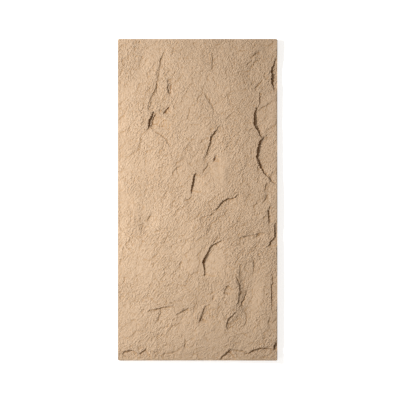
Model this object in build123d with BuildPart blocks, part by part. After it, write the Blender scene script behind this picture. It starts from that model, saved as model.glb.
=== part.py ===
# Faux stone wall panel: one cast sheet of rigid foam with a split rock face.
#
# The panel lies flat on its bonding face. Z is up, out of the rock face, X runs across the
# panel and Y along it, towards the end that is at the top on the wall. The origin is the
# middle of the bonding face. The rock face is a slowly swelling surface, and each ledge in
# it is the scar of a flake that broke away: a steep lip on one side, and a shallow trough
# whose floor climbs back to the face on the other. All lengths are millimetres.
import os
from math import cos, exp, radians, sin, sqrt
from typing import NamedTuple

from build123d import *

# Driving dimensions of the panel
panel_width = 595.0
panel_length = 1200.0
panel_thickness = 30.0
corner_round = 4.0
edge_round = 2.5

# Spacing of the points the rock surface runs through, how closely it follows them, how far it
# reaches past the edges, and spacing of the points at which its crest is looked for
surface_station = 25.0
surface_fit = 0.05
surface_margin = 30.0
crest_station = 4.0

# Clearance of the flakes above the face and behind their lips, how far they go past their run, and
# how much wider than its lip each is made before it is trimmed
flake_headroom = 25.0
flake_back_reach = 40.0
flake_overrun = 1.35
flake_overwidth = 1.1


class Swell(NamedTuple):
    """A broad rise or hollow of the rock face, oval in plan."""

    x: float
    y: float
    half_width: float
    half_length: float
    turn: float
    height: float


class Ledge(NamedTuple):
    """The scar of one flake. Along its lip, first point to last, the low side is on the left."""

    drop: float
    run: float
    lip: list


# Broad rises and hollows of the rock face, from the top of the panel to its foot
swells = [
    Swell(x=-258, y=562, half_width=35, half_length=45, turn=30, height=2.5),
    Swell(x=-212, y=500, half_width=30, half_length=60, turn=-5, height=-4.0),
    Swell(x=150, y=560, half_width=32, half_length=60, turn=-35, height=-3.0),
    Swell(x=225, y=510, half_width=32, half_length=70, turn=-35, height=-3.5),
    Swell(x=-120, y=420, half_width=50, half_length=120, turn=-10, height=-2.0),
    Swell(x=-30, y=410, half_width=60, half_length=120, turn=-15, height=2.5),
    Swell(x=65, y=380, half_width=32, half_length=50, turn=10, height=-3.0),
    Swell(x=120, y=440, half_width=60, half_length=90, turn=-20, height=2.0),
    Swell(x=280, y=300, half_width=50, half_length=160, turn=0, height=-6.0),
    Swell(x=165, y=230, half_width=45, half_length=120, turn=-10, height=2.5),
    Swell(x=130, y=190, half_width=30, half_length=60, turn=0, height=-1.5),
    Swell(x=-240, y=230, half_width=70, half_length=180, turn=0, height=1.5),
    Swell(x=-70, y=190, half_width=80, half_length=120, turn=-25, height=3.0),
    Swell(x=25, y=85, half_width=32, half_length=80, turn=-20, height=-2.5),
    Swell(x=95, y=115, half_width=27, half_length=80, turn=-12, height=2.0),
    Swell(x=110, y=-60, half_width=70, half_length=45, turn=-30, height=-3.0),
    Swell(x=-234, y=-55, half_width=32, half_length=75, turn=-3, height=3.0),
    Swell(x=-172, y=-60, half_width=30, half_length=60, turn=-5, height=-1.5),
    Swell(x=205, y=-60, half_width=60, half_length=60, turn=0, height=2.5),
    Swell(x=-5, y=-150, half_width=50, half_length=90, turn=-20, height=3.0),
    Swell(x=-75, y=-200, half_width=30, half_length=70, turn=15, height=-3.0),
    Swell(x=200, y=-220, half_width=100, half_length=80, turn=0, height=-2.0),
    Swell(x=-200, y=-250, half_width=80, half_length=120, turn=-15, height=1.0),
    Swell(x=118, y=-345, half_width=45, half_length=85, turn=-8, height=4.5),
    Swell(x=194, y=-365, half_width=34, half_length=90, turn=-5, height=-6.0),
    Swell(x=248, y=-370, half_width=32, half_length=110, turn=0, height=1.5),
    Swell(x=-60, y=-440, half_width=60, half_length=40, turn=20, height=-2.0),
    Swell(x=60, y=-500, half_width=80, half_length=40, turn=10, height=2.0),
    Swell(x=0, y=-640, half_width=330, half_length=60, turn=0, height=-11.0),
]

# Ledges, named for where they lie on the panel
ledges = {
    "top_left_upper": Ledge(3.0, 45, [(-122, 562), (-137, 525), (-147, 485), (-150, 450)]),
    "top_left_lower": Ledge(4.0, 45, [(-149, 462), (-155, 420), (-170, 391), (-179, 368), (-185, 341)]),
    "slot_outer": Ledge(8.0, 60, [(-163, 333), (-175, 316), (-181, 294), (-189, 255)]),
    "slot_inner": Ledge(13.0, 80, [(-158, 330), (-165, 305), (-172, 283), (-180, 260)]),
    "top_pit": Ledge(4.5, 40, [(-110, 458), (-113, 436), (-110, 410), (-107, 391)]),
    "top_nick": Ledge(4.0, 30, [(-105, 350), (-118, 337), (-129, 320)]),
    "top_rib": Ledge(5.0, 35, [(52, 560), (55, 520), (51, 490), (42, 474)]),
    "right_edge_top": Ledge(7.0, 60, [(296, 540), (280, 505), (273, 470), (277, 435), (290, 396)]),
    "right_step_up": Ledge(2.5, 45, [(214, 400), (250, 403), (304, 410)]),
    "right_short": Ledge(4.0, 80, [(226, 404), (230, 383), (229, 350)]),
    "right_break_upper": Ledge(
        6.5, 140, [(224, 352), (214, 330), (209, 308), (209, 288), (213, 268), (226, 252), (242, 230)]
    ),
    "right_break_middle": Ledge(
        8.0, 120, [(252, 250), (245, 231), (231, 217), (223, 190), (217, 160), (224, 132)]
    ),
    "right_break_lower": Ledge(8.5, 75, [(217, 178), (220, 158), (229, 132), (240, 104), (258, 84)]),
    "right_break_tail": Ledge(4.0, 40, [(244, 97), (263, 81), (274, 70), (290, 54)]),
    "middle_rib": Ledge(
        4.5, 90, [(95, 292), (80, 272), (60, 252), (47, 232), (42, 205), (34, 178), (21, 149)]
    ),
    "middle_rib_foot": Ledge(3.0, 45, [(46, 148), (32, 128), (21, 111), (19, 92)]),
    "middle_nick": Ledge(4.5, 30, [(71, 168), (65, 160), (56, 140)]),
    "centre_crescent": Ledge(8.0, 50, [(-1, 107), (-12, 92), (-19, 72), (-25, 45), (-22, 14)]),
    "centre_crescent_tail": Ledge(2.0, 30, [(-13, 15), (-26, 7), (-43, -3)]),
    "centre_hook": Ledge(5.5, 60, [(158, 20), (140, 12), (106, 3), (86, -11), (76, -25), (68, -43)]),
    "right_slit": Ledge(6.0, 35, [(267, -19), (264, -46), (262, -70), (264, -96)]),
    "right_edge_middle": Ledge(9.0, 50, [(292, -74), (286, -110), (286, -138), (270, -156), (257, -187)]),
    "lower_arc": Ledge(2.0, 60, [(270, -112), (222, -128), (180, -135), (140, -145), (98, -146)]),
    "lower_crescent_top": Ledge(4.5, 60, [(104, -145), (86, -153), (62, -164), (47, -175), (39, -192)]),
    "lower_crescent": Ledge(
        8.0, 110, [(52, -168), (42, -183), (33, -202), (18, -232), (25, -250), (27, -290)]
    ),
    "rough_break_top": Ledge(3.0, 35, [(160, -236), (157, -262), (153, -288)]),
    "rough_break_outer": Ledge(
        3.0, 40, [(137, -280), (145, -299), (155, -317), (157, -350), (151, -374), (142, -398)]
    ),
    "rough_break_inner": Ledge(3.5, 25, [(165, -304), (175, -326), (179, -346), (170, -372), (160, -400)]),
    "rough_break_foot": Ledge(3.5, 60, [(148, -410), (128, -431), (112, -448), (106, -468), (113, -491)]),
    "lower_nick": Ledge(5.5, 40, [(113, -316), (103, -333), (96, -355)]),
    "lower_slit": Ledge(6.5, 50, [(33, -392), (21, -408), (14, -435), (3, -464)]),
    "left_level_crack": Ledge(
        4.5, 50, [(-80, -399), (-103, -396), (-140, -404), (-178, -412), (-194, -421)]
    ),
    "lower_chip": Ledge(4.5, 35, [(-34, -403), (-51, -412), (-66, -423), (-84, -430)]),
    "bottom_left_chip": Ledge(4.5, 60, [(-190, -553), (-207, -565), (-219, -577)]),
    "bottom_left_edge": Ledge(4.0, 150, [(-221, -572), (-248, -560), (-269, -562), (-282, -578)]),
    "bottom_middle_chip": Ledge(5.5, 60, [(127, -555), (110, -567), (95, -581), (80, -597)]),
    "bottom_right_edge": Ledge(5.5, 150, [(284, -555), (240, -551), (199, -563), (176, -574)]),
    "bottom_right_corner": Ledge(8.0, 40, [(293, -528), (284, -545), (281, -566)]),
    "right_low_slit": Ledge(4.5, 35, [(279, -250), (276, -310), (274, -385), (277, -430)]),
    "right_low_rib": Ledge(2.5, 40, [(204, -208), (211, -240), (205, -282)]),
    "left_low_rib": Ledge(3.5, 40, [(-57, -185), (-61, -215), (-66, -239), (-72, -264)]),
    "left_middle_chip": Ledge(2.5, 40, [(-170, -42), (-179, -57), (-190, -82)]),
}


def relief(x, y):
    """How far the swells lift the rock face at one place, before any flake is broken away."""
    lift = 0.0
    for swell in swells:
        turn = radians(swell.turn)
        across = ((x - swell.x) * cos(turn) + (y - swell.y) * sin(turn)) / swell.half_width
        along = ((y - swell.y) * cos(turn) - (x - swell.x) * sin(turn)) / swell.half_length
        lift += swell.height * exp(-(across**2 + along**2))
    return lift


def stations(length, spacing):
    """Evenly spaced places from one side of the rock surface to the other."""
    reach = length / 2 + surface_margin
    count = round(2 * reach / spacing)
    return [reach * (2 * i / count - 1) for i in range(count + 1)]


# The crest of the highest swell is at the panel's full thickness
across_stations = stations(panel_width, crest_station)
along_stations = stations(panel_length, crest_station)
crest = max(relief(x, y) for x in across_stations for y in along_stations)


def face_point(x, y):
    """The point of the rock face above one place on the bonding face."""
    return Vector(x, y, panel_thickness - crest + relief(x, y))


def rock_surface():
    """The smooth swelling surface that the slab is split by. It reaches past all four edges."""
    across, along = stations(panel_width, surface_station), stations(panel_length, surface_station)
    points = [[face_point(x, y) for y in along] for x in across]
    return Face.make_surface_from_array_of_points(points, tol=surface_fit, min_deg=3, max_deg=3)


def flake(ledge):
    """The flake whose loss left one ledge: as deep as the drop in the middle of the lip and
    nothing at its ends, bounded by the lip, and thinning to nothing over the run."""
    start, end = Vector(*ledge.lip[0]), Vector(*ledge.lip[-1])
    low_side = (end - start).rotate(Axis.Z, 90).normalized()
    first, last = face_point(start.X, start.Y), face_point(end.X, end.Y)
    middle = (first + last) * 0.5
    half = (last - first).length / 2
    radius = (half**2 + ledge.drop**2) / (2 * ledge.drop)
    side = half * flake_overwidth
    side_height = radius - ledge.drop - sqrt(radius**2 - side**2)
    far = (start + end) * 0.5 + low_side * ledge.run
    climb = face_point(far.X, far.Y).Z + ledge.drop - middle.Z
    floor_way = (low_side * ledge.run + Vector(0, 0, climb)).normalized()
    reach = low_side * ledge.run * flake_overrun
    with BuildPart() as piece:
        with BuildSketch(Plane(middle - floor_way * flake_back_reach, x_dir=first - last, z_dir=floor_way)):
            with BuildLine():
                ThreePointArc((-side, side_height), (0, -ledge.drop), (side, side_height))
                Polyline((side, side_height), (side, flake_headroom))
                Polyline((side, flake_headroom), (-side, flake_headroom), (-side, side_height))
            make_face()
        extrude(amount=2 * flake_back_reach + ledge.run * flake_overrun)
        with BuildSketch():
            with BuildLine():
                Polyline(*ledge.lip, end + reach, start + reach, close=True)
            make_face()
        extrude(amount=panel_thickness + 2 * flake_headroom, mode=Mode.INTERSECT)
    return piece.part


with BuildPart() as panel:
    with BuildSketch():
        RectangleRounded(panel_width, panel_length, corner_round)
    extrude(amount=panel_thickness + flake_headroom)
    split(bisect_by=rock_surface(), keep=Keep.BOTTOM)
    rock_face = panel.faces().filter_by(GeomType.BSPLINE).sort_by(Axis.Z)[-1]
    fillet(rock_face.edges(), radius=edge_round)
    # Every other flake first and the rest after, so that scars which overlap are cut one by one
    flakes = [flake(ledge) for ledge in ledges.values()]
    add(flakes[::2], mode=Mode.SUBTRACT)
    add(flakes[1::2], mode=Mode.SUBTRACT)

panel.part.label = "panel"
os.makedirs("parts", exist_ok=True)
export_step(panel.part, "parts/panel.step")
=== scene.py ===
"""Looks of the faux stone wall panel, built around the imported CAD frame. Lengths are metres."""
from math import radians
from typing import NamedTuple

import bpy
import numpy as np
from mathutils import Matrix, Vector, noise
from mathutils.bvhtree import BVHTree
from mathutils.kdtree import KDTree


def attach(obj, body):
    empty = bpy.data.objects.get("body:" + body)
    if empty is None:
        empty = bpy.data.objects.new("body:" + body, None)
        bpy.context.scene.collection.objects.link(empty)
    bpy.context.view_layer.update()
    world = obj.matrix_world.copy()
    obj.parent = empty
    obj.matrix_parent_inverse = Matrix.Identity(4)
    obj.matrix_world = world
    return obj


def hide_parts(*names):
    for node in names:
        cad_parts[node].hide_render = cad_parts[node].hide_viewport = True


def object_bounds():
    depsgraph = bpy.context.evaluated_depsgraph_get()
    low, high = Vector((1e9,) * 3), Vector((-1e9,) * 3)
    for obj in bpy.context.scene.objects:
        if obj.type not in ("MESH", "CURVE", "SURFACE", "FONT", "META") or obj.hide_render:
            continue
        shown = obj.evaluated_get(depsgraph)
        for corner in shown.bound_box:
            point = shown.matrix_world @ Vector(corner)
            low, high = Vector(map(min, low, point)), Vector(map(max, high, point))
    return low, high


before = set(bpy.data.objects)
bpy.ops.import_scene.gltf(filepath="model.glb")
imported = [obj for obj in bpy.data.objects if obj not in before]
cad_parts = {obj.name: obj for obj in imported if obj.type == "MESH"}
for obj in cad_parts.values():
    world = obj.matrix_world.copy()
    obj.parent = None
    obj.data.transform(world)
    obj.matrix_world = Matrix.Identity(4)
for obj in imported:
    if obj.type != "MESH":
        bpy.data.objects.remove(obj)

cad_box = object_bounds()
mm = 0.001

# The photograph's frame, and where the panel's middle is in it, in pixels
photo_side_px = 400
panel_middle_px = (197.6, 199.8)
panel_height_px = 321.8

# The camera's lens and sensor, in millimetres
lens_length = 100
sensor_width = 36

# Light from all round: how strong it is, where 1 is white, and its colour, a little warm as in a room
ambient_level = 0.3
ambient_colour = (1.0, 0.92, 0.82, 1.0)

# The key lamp: its angle round from +X and its angle above the floor, both from the photograph's
# shadows, and how far off it is. Both lamps shine in a cone of the same width.
key_azimuth = radians(159)
key_elevation = radians(41)
key_distance = 2.5
lamp_spread = radians(115)

# The floor, and how far it is lifted to white where the camera sees it
floor_half_side = 12.0
floor_grey = (0.8, 0.8, 0.8, 1.0)
floor_glow = 0.7
white = (1.0, 1.0, 1.0, 1.0)

# What the CAD panel has: its rounded corners in plan, and the round of its arris
corner_radius = 4 * mm
cad_arris = 2.5 * mm

# The mesh of the rock face: its usual cell, and the distances from the outline of its first lines
cell = 2.85 * mm
arris_lines = [0.0, 0.7 * mm, 1.6 * mm, 2.8 * mm, 4.6 * mm]

# The mesh under it: how high up the butt edge a ring of points lies, as a share of the edge's
# height, the bevel round the back, the back's place among the materials, and the angle from which
# an edge is sharp
side_ring_share = 0.45
back_bevel = 0.8 * mm
back_slot = 1
sharp_angle = radians(55)

# Reading the CAD panel: how high the rays start, how far they keep inside the outline, and how far
# up or down the normal of a ledge's wall may point. A wall near the outline, in a strip along the
# edges or in a square at a corner, is a butt edge and no ledge.
ray_start = 1.0
ray_inset = 0.05 * mm
wall_normal_z = 0.2
edge_strip = 1 * mm
corner_square = 6 * mm

# How the mesh is drawn together at the ledges: the spacing of the points along a ledge, how far
# the pull reaches, and how strong it is
lip_sample = 0.5 * mm
pull_reach = 5 * mm
pull_power = 1.8

# Smoothing of the CAD mesh's facets between the ledges. Steps higher than step_kept stay, and so do
# the first few lines at the outline.
smooth_passes = 60
smooth_share = 0.2
step_kept = 0.6 * mm
lines_kept = 3

# The way in which most of the rock has split, up to the right
grain_turn = radians(52)
grain_way = np.array([np.cos(grain_turn), np.sin(grain_turn)])

# Noise: how far apart the seeds are in it, in lumps or flakes, and what turns the place of a flake
# into its random numbers
seed_shift = (7.31, -3.17, 1.73)
flake_seed_shift = 5.3
flake_key = 57.3

# How rough the face is, where 1 is usual: the mean, how much it comes and goes, over what length in
# millimetres, and its limits
mean_roughness = 0.95
roughness_change = 0.55
roughness_size = 75
least_roughness = 0.5
most_roughness = 1.6

# How many millimetres the relief is lowered, over what distance it fades at the outline, to what
# share of its height, and the least gap between it and the top of the CAD panel's box
relief_drop = 0.6
relief_fade = 12 * mm
edge_relief = 0.3
top_gap = 0.05 * mm

# How far inside the outline the plan wanders in full
wander_fade = 16 * mm

# How a small crack runs out at its ends: lower powers end it more bluntly
end_fade_power = 0.7

# How far below its surroundings the painted shade of crevices, or of fine hollows, is full, and how wide
# those surroundings are
crevice_shade_depth = 3.2 * mm
crevice_shade_passes = 14
hollow_shade_depth = 0.5 * mm
hollow_shade_passes = 3

# Relief that is only in the skin's material: the height of the crumple, how many times longer it
# is along the grain, and the height of the sand
crumple_height = 5.0 * mm
crumple_stretch = 1.5
sand_height = 0.35 * mm

# How much all materials reflect like a mirror, where 0.5 is usual
specular_level = 0.25


def low_corner(box):
    return np.array([min(corner[i] for corner in box) for i in range(3)])


def high_corner(box):
    return np.array([max(corner[i] for corner in box) for i in range(3)])


low, high = low_corner(cad_box), high_corner(cad_box)
half = (high - low)[:2] / 2


def smoothstep(value):
    value = np.clip(value, 0, 1)
    return value * value * (3 - 2 * value)


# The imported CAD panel: its heights, and the lines of its ledges

cad_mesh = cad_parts["panel"].data
cad_points = np.empty(len(cad_mesh.vertices) * 3)
cad_mesh.vertices.foreach_get("co", cad_points)
cad_points = cad_points.reshape(-1, 3)
cad_tree = BVHTree.FromPolygons(
    [Vector(point) for point in cad_points], [tuple(face.vertices) for face in cad_mesh.polygons]
)


def cad_height(x, y):
    """Height of the CAD rock face, sampled a hair inside its outline."""
    x = min(max(x, -half[0] + ray_inset), half[0] - ray_inset)
    y = min(max(y, -half[1] + ray_inset), half[1] - ray_inset)
    hit = cad_tree.ray_cast(Vector((x, y, ray_start)), Vector((0, 0, -1)))[0]
    return hit.z if hit else np.nan


def near_outline(point):
    """Whether a point lies at a butt edge or at a rounded corner."""
    from_middle = np.abs(point[:2])
    return np.any(from_middle > half - edge_strip) or np.all(from_middle > half - corner_square)


def ledge_lip_samples():
    """Points along the plan of every ledge wall of the CAD panel."""
    samples = []
    for face in cad_mesh.polygons:
        if abs(face.normal.z) > wall_normal_z:
            continue
        corners = cad_points[list(face.vertices)]
        if near_outline(corners.mean(axis=0)):
            continue
        for start, end in zip(corners, np.roll(corners, -1, axis=0)):
            count = int(np.linalg.norm((end - start)[:2]) / lip_sample) + 1
            samples += [start + (end - start) * i / count for i in range(count)]
    return samples


# Small ledges that are too fine for the CAD panel


class Crack(NamedTuple):
    """A small ledge. The low side is on the left from its first point to its last. Its wall falls
    over the wall's width, and the floor climbs back over the run. Millimetres."""

    drop: float
    run: float
    lip: list
    wall: float = 0.0


cracks = [
    Crack(2.8, 14, [(-180, 268), (-151, 249), (-133, 238), (-120, 229), (-107, 206), (-104, 194)]),
    Crack(3.0, 18, [(244, 447), (225, 432), (214, 417), (218, 404)]),
    Crack(2.6, 14, [(286, 364), (262, 357), (244, 347), (230, 336), (217, 323)]),
    Crack(3.2, 20, [(234, 556), (213, 546), (193, 529)]),
    Crack(2.4, 16, [(200, 520), (187, 508), (180, 493)]),
    Crack(2.2, 16, [(256, 90), (266, 80), (280, 66), (293, 53)]),
    Crack(2.0, 12, [(-55, 127), (-72, 125), (-83, 115), (-92, 102), (-95, 84)]),
    Crack(1.8, 14, [(272, 250), (258, 240), (244, 230)]),
    Crack(2.2, 16, [(69, 166), (62, 158), (56, 144)]),
    Crack(3.2, 16, [(259, 68), (252, 48), (248, 28)]),
    Crack(2.6, 14, [(263, 22), (253, 5), (243, -13)]),
    Crack(2.2, 16, [(43, 383), (41, 369), (50, 350), (57, 331)]),
    Crack(2.0, 16, [(24, 395), (33, 378), (48, 362)]),
    Crack(1.6, 16, [(136, 336), (127, 318), (112, 306), (98, 295)]),
    Crack(1.4, 16, [(45, 236), (22, 222), (0, 202)]),
    Crack(2.0, 30, [(290, -104), (222, -128), (180, -135), (140, -145), (92, -148)], 16),
    Crack(2.4, 18, [(69, -44), (50, -56), (28, -62), (5, -66)]),
    Crack(2.5, 14, [(-16, 16), (-30, 7), (-49, 1)]),
    Crack(1.5, 16, [(-146, 502), (-153, 483), (-155, 467), (-148, 457), (-145, 438)]),
    Crack(2.2, 16, [(-171, 374), (-176, 354), (-181, 338), (-184, 324)]),
    Crack(1.4, 12, [(-101, 440), (-100, 418), (-104, 396)]),
    Crack(2.5, 14, [(-104, 352), (-110, 344), (-120, 333), (-129, 318)]),
    Crack(2.5, 14, [(222, 322), (217, 300), (218, 284), (224, 268), (234, 250)]),
    Crack(1.6, 16, [(-56, -225), (-66, -239), (-71, -262)]),
    Crack(1.6, 16, [(-202, -83), (-209, -109), (-214, -128)]),
    Crack(2.2, 16, [(-73, -557), (-95, -571), (-122, -571), (-144, -583)]),
    Crack(2.2, 12, [(-44, -520), (-49, -538), (-52, -558)]),
    Crack(1.8, 20, [(50, -388), (40, -391), (30, -397)]),
    Crack(2.2, 14, [(58, -350), (54, -366), (52, -384)]),
    Crack(2.4, 24, [(203, -213), (210, -240), (206, -288)]),
    Crack(2.4, 14, [(171, -408), (180, -430), (179, -454), (171, -478)]),
    Crack(2.2, 14, [(269, -434), (263, -455), (266, -478)]),
    Crack(2.5, 40, [(192, -568), (165, -563), (140, -560), (116, -561)]),
    Crack(1.2, 20, [(-119, 568), (-130, 546), (-139, 518), (-146, 490)]),
    Crack(1.5, 20, [(-146, 460), (-152, 437), (-156, 408), (-163, 392)]),
    Crack(2.5, 14, [(-163, 333), (-172, 318), (-180, 294), (-188, 262)]),
    Crack(6.0, 45, [(140, -265), (148, -295), (156, -325), (156, -360), (148, -395), (138, -430)], 19),
    Crack(5.0, 45, [(176, -385), (156, -415), (130, -440), (108, -460), (98, -490)], 20),
    Crack(2.5, 30, [(262, 70), (255, 40), (250, 10), (244, -20)], 14),
    Crack(3.0, 30, [(90, 288), (66, 262), (48, 236), (36, 200), (22, 160), (4, 112)], 20),
    Crack(2.4, 18, [(-140, -404), (-142, -424), (-150, -446), (-162, -462)]),
    Crack(2.8, 16, [(240, -120), (226, -129), (214, -141)]),
]


def crack_samples():
    """Points along the lip of every crack that has a steep wall."""
    samples = []
    for crack in cracks:
        if crack.wall:
            continue
        for start, end in zip(crack.lip, crack.lip[1:]):
            start, end = np.array((*start, 0.0)) * mm, np.array((*end, 0.0)) * mm
            count = int(np.linalg.norm(end - start) / lip_sample) + 1
            samples += [start + (end - start) * i / count for i in range(count + 1)]
    return samples


def crack_depth(points, crack):
    """How far one crack lowers each of the points: deepest just under its lip, nothing behind it."""
    lip = np.array(crack.lip, float) * mm
    lengths = np.linalg.norm(np.diff(lip, axis=0), axis=1)
    along_before = np.concatenate([[0], np.cumsum(lengths)])
    best = np.full(len(points), np.inf)
    side = np.zeros(len(points))
    share = np.zeros(len(points))
    for i, length in enumerate(lengths):
        way = (lip[i + 1] - lip[i]) / length
        offset = points - lip[i]
        along = np.clip(offset @ way, 0, length)
        nearest = offset - along[:, None] * way
        distance = np.linalg.norm(nearest, axis=1)
        closer = distance < best
        best[closer] = distance[closer]
        cross = way[0] * offset[:, 1] - way[1] * offset[:, 0]
        side[closer] = np.sign(cross)[closer]
        share[closer] = (along_before[i] + along)[closer] / along_before[-1]
    end_fade = np.sin(np.pi * np.clip(share, 0, 1)) ** end_fade_power
    fallen = smoothstep(best / (crack.wall * mm)) if crack.wall else 1.0
    return np.where(side > 0, crack.drop * mm * end_fade * fallen * np.exp(-best / (crack.run * mm)), 0)


# The rock face as a grid, drawn together along each ledge and at the arris


def grid_lines(reach):
    """Places of the grid's lines from one edge to the other, closer together at the arris."""
    inner = reach - arris_lines[-1]
    count = round(2 * inner / cell)
    lines = [inner * (2 * i / count - 1) for i in range(1, count)]
    return np.array([-reach + a for a in arris_lines] + lines + [reach - a for a in reversed(arris_lines)])


def round_corners(points):
    """Draws the corner squares of the grid in to the rounded corners of the outline."""
    beyond = (np.abs(points) - (half - corner_radius)) / corner_radius
    in_corner = np.all(beyond > 0, axis=1)
    square = beyond[in_corner]
    share = square.max(axis=1) / np.linalg.norm(square, axis=1)
    moved = (half - corner_radius) + square * share[:, None] * corner_radius
    points[in_corner] = np.sign(points[in_corner]) * moved
    return points


def pull_to_ledges(points):
    """Moves the points near a ledge towards it, so that its wall is steep and its lip is clean."""
    samples = ledge_lip_samples() + crack_samples()
    tree = KDTree(len(samples))
    for i, sample in enumerate(samples):
        tree.insert((sample[0], sample[1], 0), i)
    tree.balance()
    edge_distance = (half - np.abs(points)).min(axis=1)
    for i, (x, y) in enumerate(points):
        place, _, distance = tree.find((x, y, 0))
        if 0 < distance < pull_reach and edge_distance[i] > arris_lines[-1]:
            nearer = (distance / pull_reach) ** (pull_power - 1)
            points[i] = (place.x + (x - place.x) * nearer, place.y + (y - place.y) * nearer)
    return points


def smoothed(heights):
    """Rounds off the facets of the CAD mesh and leaves its ledges as steep as they are."""
    inner = (slice(lines_kept, -lines_kept), slice(lines_kept, -lines_kept))
    for _ in range(smooth_passes):
        change = np.zeros_like(heights)
        for axis in (0, 1):
            step = np.diff(heights, axis=axis)
            step[np.abs(step) > step_kept] = 0
            before = [slice(None), slice(None)]
            after = [slice(None), slice(None)]
            before[axis], after[axis] = slice(0, -1), slice(1, None)
            change[tuple(before)] += step
            change[tuple(after)] -= step
        heights[inner] += smooth_share * change[inner]
    return heights


columns, rows = grid_lines(half[0]), grid_lines(half[1])
plan = np.array([(x, y) for y in rows for x in columns])
edge_distance = (half - np.abs(plan)).min(axis=1)
plan = round_corners(plan)
plan = pull_to_ledges(plan)

heights = np.array([cad_height(x, y) for x, y in plan])
missed = np.isnan(heights)
heights[missed] = np.nanmin(heights)
heights = smoothed(heights.reshape(len(rows), len(columns))).ravel()

for crack in cracks:
    heights -= crack_depth(plan, crack)

# Roughness of the split face: lumps, creases and the small flakes that broke away all over it


def grain_coordinates(points):
    """Places across and along the grain, the slanting way in which most of the rock has split."""
    return points @ np.array([grain_way[1], -grain_way[0]]), points @ grain_way


def lumps(points, size, seed, stretch=1.0):
    """Smooth noise from about -1 to 1 with lumps of one size, longer along the grain if stretched."""
    across, along = grain_coordinates(points)
    across, along = across / (size * mm), along / (size * stretch * mm)
    shift = [seed * amount for amount in seed_shift]
    return np.array([noise.noise((u + shift[0], v + shift[1], shift[2])) for u, v in zip(across, along)])


def facets(points, size, stretch, tilt, lean, step, seed):
    """Small broken flakes in millimetres: one tilted facet for each cell, stepping down to the next one.

    The cells are longer along the grain, and the facets lean so that the steps between them look away
    from the light more often than towards it.
    """
    across, along = grain_coordinates(points)
    across, along = across / (size * mm), along / (size * stretch * mm)
    relief = np.empty(len(points))
    for i, (u, v) in enumerate(zip(across, along)):
        place = noise.voronoi((u, v, seed * flake_seed_shift))[1][0]
        random = noise.cell_vector(place * flake_key)
        slope_u = lean + tilt * (2 * random.x - 1)
        slope_v = tilt * (2 * random.y - 1)
        tilted = slope_u * (u - place.x) * size + slope_v * (v - place.y) * size * stretch
        relief[i] = tilted + step * (random.z - 0.5)
    return relief


def warped(points, size, reach, seed):
    """The points moved sideways by smooth noise, so that what is drawn from them has ragged borders."""
    moves = np.column_stack([lumps(points, size, seed), lumps(points, size, seed + 0.5)])
    return points + moves * reach * mm


class Oval(NamedTuple):
    """An oval place on the face, fading out round its middle, and how much it adds there. The place
    and its sizes are millimetres, and the turn is degrees."""

    x: float
    y: float
    half_width: float
    half_length: float
    amount: float
    turn: float = 0.0


# Rises and hollows too narrow for the CAD panel, in millimetres of height
rises = [
    Oval(x=100, y=95, half_width=15, half_length=52, amount=2.2, turn=-6),
    Oval(x=96, y=200, half_width=18, half_length=50, amount=1.6, turn=-12),
    Oval(x=-305, y=0, half_width=30, half_length=500, amount=-0.9),
    Oval(x=-96, y=420, half_width=14, half_length=45, amount=-1.8, turn=-6),
    Oval(x=-118, y=330, half_width=14, half_length=35, amount=-1.2, turn=30),
    Oval(x=-45, y=-395, half_width=40, half_length=16, amount=1.2, turn=15),
    Oval(x=75, y=-380, half_width=18, half_length=40, amount=1.8, turn=-15),
]

# Patches where the face is rougher than elsewhere, or smoother
patches = [
    Oval(x=165, y=-345, half_width=35, half_length=60, amount=0.5),
    Oval(x=125, y=-450, half_width=35, half_length=45, amount=0.4),
    Oval(x=-100, y=420, half_width=30, half_length=60, amount=0.4),
    Oval(x=-160, y=320, half_width=40, half_length=50, amount=0.3),
    Oval(x=90, y=100, half_width=35, half_length=50, amount=-0.6),
    Oval(x=40, y=-240, half_width=45, half_length=60, amount=-0.4),
    Oval(x=-40, y=380, half_width=35, half_length=60, amount=-0.3),
    Oval(x=-200, y=-60, half_width=35, half_length=50, amount=-0.3),
    Oval(x=-190, y=-330, half_width=50, half_length=60, amount=-0.3),
    Oval(x=-285, y=-60, half_width=28, half_length=240, amount=-0.3),
    Oval(x=-262, y=60, half_width=28, half_length=60, amount=0.4),
    Oval(x=260, y=-560, half_width=60, half_length=60, amount=0.5),
]


def added(points, ovals):
    """How much the ovals add at each of the points."""
    total = np.zeros(len(points))
    for oval in ovals:
        turn = radians(oval.turn)
        x, y = points[:, 0] / mm - oval.x, points[:, 1] / mm - oval.y
        across = (x * np.cos(turn) + y * np.sin(turn)) / oval.half_width
        along = (y * np.cos(turn) - x * np.sin(turn)) / oval.half_length
        total += oval.amount * np.exp(-(across**2 + along**2))
    return total


def roughness_of_face(points):
    """How rough each point of the face is, where 1 is usual."""
    roughness = mean_roughness + roughness_change * lumps(points, roughness_size, seed=9)
    return np.clip(roughness + added(points, patches), least_roughness, most_roughness)


class Arris(NamedTuple):
    """How a worn arris falls: how far in it starts, how deep it is at the outline, and how hollow
    its slope is, which is flat where the curve is 1."""

    width: float
    depth: float
    curve: float


crisp_arris = Arris(width=1.2 * mm, depth=1.0 * mm, curve=2.5)
worn_arris = Arris(width=4.5 * mm, depth=1.8 * mm, curve=1.3)

# How much the depth of the arris changes along it, and how much farther off than the nearest edge
# a worn edge may be and still count
wear_change = 0.8
worn_edge_slack = 1 * mm


def outline_distance(points):
    """How far inside the outline with its rounded corners each of the points is."""
    beyond = np.abs(points) - (half - corner_radius)
    distance = (half - np.abs(points)).min(axis=1)
    in_corner = np.all(beyond > 0, axis=1)
    distance[in_corner] = corner_radius - np.linalg.norm(beyond[in_corner], axis=1)
    return distance


def rounding(distance, radius):
    """How far a rounded arris lies below the face, at a distance from the outline."""
    inside = np.clip(distance / radius, 0, 1)
    return radius * (1 - np.sqrt(1 - (1 - inside) ** 2))


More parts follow.
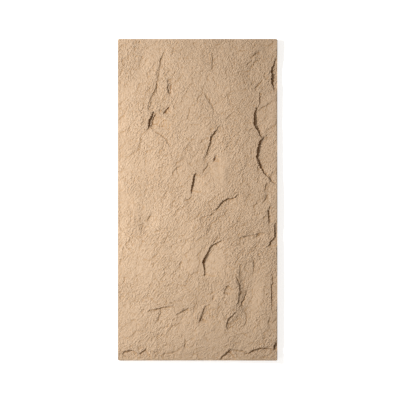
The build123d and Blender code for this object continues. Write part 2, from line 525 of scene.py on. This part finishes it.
def with_worn_arris(points, heights):
    """Makes the arris of the CAD panel crisper on the left and at the top, and more worn elsewhere."""
    distance = outline_distance(points)
    at_right = half[0] - points[:, 0] <= distance + worn_edge_slack
    at_foot = half[1] + points[:, 1] <= distance + worn_edge_slack
    worn = at_right | at_foot
    width = np.where(worn, worn_arris.width, crisp_arris.width)
    depth = np.where(worn, worn_arris.depth, crisp_arris.depth)
    depth = depth * (1 + wear_change * lumps(points, size=20, seed=15))
    curve = np.where(worn, worn_arris.curve, crisp_arris.curve)
    unworn = heights + rounding(np.maximum(distance, ray_inset), cad_arris)
    return unworn - depth * (1 - np.clip(distance / width, 0, 1)) ** curve


def wander(points, broad_seed, fine_seed):
    """How far each of the points wanders one way, in millimetres."""
    return 4 * lumps(points, size=24, seed=broad_seed) + 2.6 * lumps(points, size=9, seed=fine_seed)


patchy = roughness_of_face(plan)
ragged = warped(warped(plan, size=30, reach=7, seed=12), size=8, reach=1.5, seed=13)
rough = (
    0.4 * lumps(plan, size=50, seed=1, stretch=1.2)
    + 0.2 * lumps(plan, size=22, seed=2, stretch=1.3)
    + facets(ragged, size=38, stretch=1.3, tilt=0.027, lean=0.014, step=0.12, seed=1)
    + facets(ragged, size=18, stretch=1.4, tilt=0.033, lean=0.019, step=0.14, seed=2) * patchy
    + facets(ragged, size=8.5, stretch=1.6, tilt=0.055, lean=0.029, step=0.09, seed=3) * patchy
    + 0.4 * lumps(plan, size=5, seed=4, stretch=1.3) * patchy
    + added(plan, rises)
)
away_from_edge = smoothstep(edge_distance / relief_fade)
heights = with_worn_arris(plan, heights)
heights += (rough - relief_drop) * mm * (edge_relief + (1 - edge_relief) * away_from_edge)
heights = np.minimum(heights, high[2] - top_gap)

# Ragged lips: the whole plan wanders a little sideways, but not at the outline
wandering = np.column_stack([wander(plan, 6, 7), wander(plan, 8, 11)])
plan = plan + wandering * mm * smoothstep(edge_distance / wander_fade)[:, None]


def hollowness(passes, depth):
    """From 0 to 1, how far each point of the face lies below what is around it, which sets its share of
    painted shade.
    """
    around = heights.reshape(len(rows), len(columns)).copy()
    for _ in range(passes):
        padded = np.pad(around, 1, mode="edge")
        around = (padded[:-2, 1:-1] + padded[2:, 1:-1] + padded[1:-1, :-2] + padded[1:-1, 2:]) / 4
    return np.clip((around.ravel() - heights) / depth, 0, 1)


def add_values(mesh, name, face_values, elsewhere):
    """Gives each vertex of the rock face its value, and the vertices of the sides and back another."""
    values = np.full(len(mesh.vertices), float(elsewhere))
    values[: len(face_values)] = face_values
    mesh.attributes.new(name, "FLOAT", "POINT").data.foreach_set("value", values)


def build_panel():
    """One closed mesh: the rock face, the butt edges under it and the flat back."""
    wide, tall = len(columns), len(rows)
    points = [(x, y, z) for (x, y), z in zip(plan, heights)]
    faces = []
    for row in range(tall - 1):
        for column in range(wide - 1):
            corner = row * wide + column
            faces.append((corner, corner + 1, corner + 1 + wide, corner + wide))
    rim = list(range(wide))
    rim += [row * wide + wide - 1 for row in range(1, tall)]
    rim += [(tall - 1) * wide + column for column in range(wide - 2, -1, -1)]
    rim += [row * wide for row in range(tall - 2, 0, -1)]
    arris = [points[i] for i in rim]
    inset = 1 - back_bevel / half
    rings = [rim]
    for ring in (
        [(x, y, z * side_ring_share) for x, y, z in arris],
        [(x, y, back_bevel) for x, y, z in arris],
        [(x * inset[0], y * inset[1], 0.0) for x, y, z in arris],
    ):
        rings.append(list(range(len(points), len(points) + len(ring))))
        points += ring
    for upper, lower in zip(rings, rings[1:]):
        for i in range(len(rim)):
            following = (i + 1) % len(rim)
            faces.append((upper[i], lower[i], lower[following], upper[following]))
    back = len(faces)
    faces.append(tuple(reversed(rings[-1])))
    mesh = bpy.data.meshes.new("rock_panel")
    mesh.from_pydata(points, [], faces)
    mesh.polygons.foreach_set("use_smooth", [True] * len(faces))
    mesh.set_sharp_from_angle(angle=sharp_angle)
    mesh.polygons[back].material_index = back_slot
    # Mask of the painted shade in deep crevices, darker and browner
    add_values(mesh, "crevice_shade", hollowness(crevice_shade_passes, crevice_shade_depth), 0)
    # Mask of the painted shade in fine hollows
    add_values(mesh, "hollow_shade", hollowness(hollow_shade_passes, hollow_shade_depth), 0)
    add_values(mesh, "patchy", patchy, 1)
    mesh.update()
    panel = bpy.data.objects.new("rock_panel", mesh)
    bpy.context.scene.collection.objects.link(panel)
    return panel


# Materials


def linear(red, green, blue):
    """A colour written as 0 to 255 sRGB, as the linear colour a shader takes."""
    channels = [channel / 255 for channel in (red, green, blue)]
    return (*[c / 12.92 if c <= 0.04045 else ((c + 0.055) / 1.055) ** 2.4 for c in channels], 1.0)


def new_material(name, roughness):
    """A dull material, with its nodes, links and shader."""
    material = bpy.data.materials.new(name)
    material.use_nodes = True
    shader = material.node_tree.nodes["Principled BSDF"]
    shader.inputs["Roughness"].default_value = roughness
    shader.inputs["Specular IOR Level"].default_value = specular_level
    return material, material.node_tree.nodes, material.node_tree.links, shader


def feed(links, socket, source):
    """Links a socket to another node's output, or gives it a fixed value."""
    if isinstance(source, bpy.types.NodeSocket):
        links.new(source, socket)
    else:
        socket.default_value = source


def math_node(nodes, links, operation, first, second):
    """A value worked out from two others."""
    node = nodes.new("ShaderNodeMath")
    node.operation = operation
    feed(links, node.inputs[0], first)
    feed(links, node.inputs[1], second)
    return node.outputs["Value"]


def noise_node(nodes, links, place, scale, detail, rough=0.5):
    """Noise of a scale in lumps a metre, with finer noise on it."""
    node = nodes.new("ShaderNodeTexNoise")
    node.inputs["Scale"].default_value = scale
    node.inputs["Detail"].default_value = detail
    node.inputs["Roughness"].default_value = rough
    links.new(place, node.inputs["Vector"])
    return node.outputs["Fac"]


def mixed(nodes, links, share, first, second, low_end=0.0, high_end=1.0):
    """Blends two colours by a share that is stretched from low_end to high_end."""
    ramp = nodes.new("ShaderNodeMapRange")
    ramp.inputs["From Min"].default_value = low_end
    ramp.inputs["From Max"].default_value = high_end
    links.new(share, ramp.inputs["Value"])
    mix = nodes.new("ShaderNodeMix")
    mix.data_type = "RGBA"
    links.new(ramp.outputs["Result"], mix.inputs["Factor"])
    first_colour, second_colour, mixed_colour = mix.inputs[6], mix.inputs[7], mix.outputs[2]
    feed(links, first_colour, first)
    feed(links, second_colour, second)
    return mixed_colour


def attribute(nodes, name):
    """A value that the mesh holds for each of its vertices."""
    node = nodes.new("ShaderNodeAttribute")
    node.attribute_name = name
    return node.outputs["Fac"]


def bumped(nodes, links, height, reach, under=None):
    """The normal of a surface with fine relief, on top of the relief that is under it."""
    bump = nodes.new("ShaderNodeBump")
    bump.inputs["Strength"].default_value = 1
    bump.inputs["Distance"].default_value = reach
    links.new(height, bump.inputs["Height"])
    if under:
        links.new(under, bump.inputs["Normal"])
    return bump.outputs["Normal"]


def stone_material():
    """Matt sandstone-coloured skin with soft blotches and a fine sandy grain, and painted shade, darker
    and browner, in its crevices and fine hollows.
    """
    material, nodes, links, shader = new_material("sandstone_skin", roughness=0.9)
    skin, blotch = linear(202, 176, 149), linear(195, 169, 142)
    # A fleck colour of random tone, and the colours of painted shade for fine hollows and for deep
    # crevices
    fleck, hollow_shade, crevice_shade = linear(182, 152, 122), linear(180, 146, 110), linear(152, 110, 70)
    place = nodes.new("ShaderNodeTexCoord").outputs["Object"]
    blotches = noise_node(nodes, links, place, scale=9, detail=3)
    flecks = noise_node(nodes, links, place, scale=140, detail=4, rough=0.6)
    base = mixed(nodes, links, blotches, skin, blotch, low_end=0.35, high_end=0.65)
    speckled = mixed(nodes, links, flecks, fleck, base, low_end=0.2, high_end=0.55)
    # Painted shade in fine hollows: a little darker and browner where the face lies a little below its
    # surroundings
    hollow_shaded = mixed(nodes, links, attribute(nodes, "hollow_shade"), speckled, hollow_shade, low_end=0.1)
    # Painted shade in deep crevices: darker and browner where the face lies well below its surroundings
    shaded = mixed(nodes, links, attribute(nodes, "crevice_shade"), hollow_shaded, crevice_shade, low_end=0.45)
    links.new(shaded, shader.inputs["Base Color"])
    along_grain = nodes.new("ShaderNodeMapping")
    along_grain.vector_type = "TEXTURE"
    along_grain.inputs["Rotation"].default_value = (0, 0, grain_turn)
    along_grain.inputs["Scale"].default_value = (crumple_stretch, 1, 1)
    links.new(place, along_grain.inputs["Vector"])
    wrinkles = noise_node(nodes, links, along_grain.outputs["Vector"], scale=200, detail=2)
    crumple = math_node(nodes, links, "MULTIPLY", wrinkles, attribute(nodes, "patchy"))
    sand = noise_node(nodes, links, place, scale=750, detail=2, rough=0.6)
    crumpled = bumped(nodes, links, crumple, crumple_height)
    links.new(bumped(nodes, links, sand, sand_height, crumpled), shader.inputs["Normal"])
    return material


def back_material():
    """The bare foam of the bonding face."""
    material, nodes, links, shader = new_material("foam_back", roughness=0.8)
    foam, blotch = linear(214, 192, 158), linear(206, 182, 147)
    place = nodes.new("ShaderNodeTexCoord").outputs["Object"]
    blotches = noise_node(nodes, links, place, scale=14, detail=3)
    base = mixed(nodes, links, blotches, foam, blotch, low_end=0.3, high_end=0.7)
    links.new(base, shader.inputs["Base Color"])
    return material


panel = build_panel()
panel.data.materials.append(stone_material())
panel.data.materials.append(back_material())
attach(panel, "root")
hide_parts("panel")


# Floor, light and camera


def seen_directly(nodes, links):
    """1 where the camera sees a surface directly, in a reflection or through something clear."""
    rays = nodes.new("ShaderNodeLightPath").outputs
    glossy_or_camera = math_node(nodes, links, "MAXIMUM", rays["Is Camera Ray"], rays["Is Glossy Ray"])
    return math_node(nodes, links, "MAXIMUM", glossy_or_camera, rays["Is Transmission Ray"])


def build_floor():
    """A white floor that shows only a light shadow."""
    reach = floor_half_side
    corners = [(-reach, -reach, 0), (reach, -reach, 0), (reach, reach, 0), (-reach, reach, 0)]
    mesh = bpy.data.meshes.new("floor")
    mesh.from_pydata(corners, [], [(0, 1, 2, 3)])
    floor = bpy.data.objects.new("floor", mesh)
    bpy.context.scene.collection.objects.link(floor)
    material, nodes, links, shader = new_material("floor_white", roughness=0.9)
    shader.inputs["Base Color"].default_value = floor_grey
    shader.inputs["Emission Color"].default_value = white
    glow = math_node(nodes, links, "MULTIPLY", seen_directly(nodes, links), floor_glow)
    links.new(glow, shader.inputs["Emission Strength"])
    mesh.materials.append(material)


def build_world():
    """Even, slightly warm light from all round, seen as white."""
    world = bpy.data.worlds.new("studio")
    world.use_nodes = True
    nodes, links = world.node_tree.nodes, world.node_tree.links
    background = nodes["Background"]
    level = nodes.new("ShaderNodeMapRange")
    level.inputs["To Min"].default_value = ambient_level
    level.inputs["To Max"].default_value = 1
    seen = seen_directly(nodes, links)
    links.new(mixed(nodes, links, seen, ambient_colour, white), background.inputs["Color"])
    links.new(seen, level.inputs["Value"])
    links.new(level.outputs["Result"], background.inputs["Strength"])
    bpy.context.scene.world = world


def area_lamp(name, place, target, size, power):
    """A round lamp that shines on a target."""
    light = bpy.data.lights.new(name, "AREA")
    light.shape = "DISK"
    light.size = size
    light.energy = power
    light.spread = lamp_spread
    lamp = bpy.data.objects.new(name, light)
    lamp.location = place
    lamp.rotation_euler = (Vector(target) - lamp.location).to_track_quat("-Z", "Y").to_euler()
    bpy.context.scene.collection.objects.link(lamp)


def light_scene():
    """A small key lamp at the upper left of the picture, and a weak one at its lower left."""
    reach = key_distance * np.cos(key_elevation)
    height = key_distance * np.sin(key_elevation)
    key_place = (reach * np.cos(key_azimuth), reach * np.sin(key_azimuth), height)
    area_lamp("key", key_place, target=(-0.16, -0.17, 0), size=0.3, power=30.1)
    area_lamp("fill", (-0.9, -1.1, 0.8), target=(-0.3, -0.5, 0), size=0.6, power=1.1)


def place_camera():
    """Looks straight down on the panel, which then stands upright in the picture as in the photograph."""
    panel_length = 2 * half[1]
    metres_per_px = panel_length / panel_height_px
    data = bpy.data.cameras.new("camera")
    data.lens = lens_length
    data.sensor_width = sensor_width
    distance = metres_per_px * photo_side_px * lens_length / sensor_width
    middle = photo_side_px / 2
    off_x = (middle - panel_middle_px[0]) * metres_per_px
    off_y = (panel_middle_px[1] - middle) * metres_per_px
    upper_arris = float(np.mean(heights[edge_distance < arris_lines[1]]))
    camera = bpy.data.objects.new("camera", data)
    camera.location = (off_x, off_y, distance + upper_arris)
    bpy.context.scene.collection.objects.link(camera)
    bpy.context.scene.camera = camera


build_floor()
build_world()
light_scene()
place_camera()

bpy.context.scene.view_settings.view_transform = "Standard"
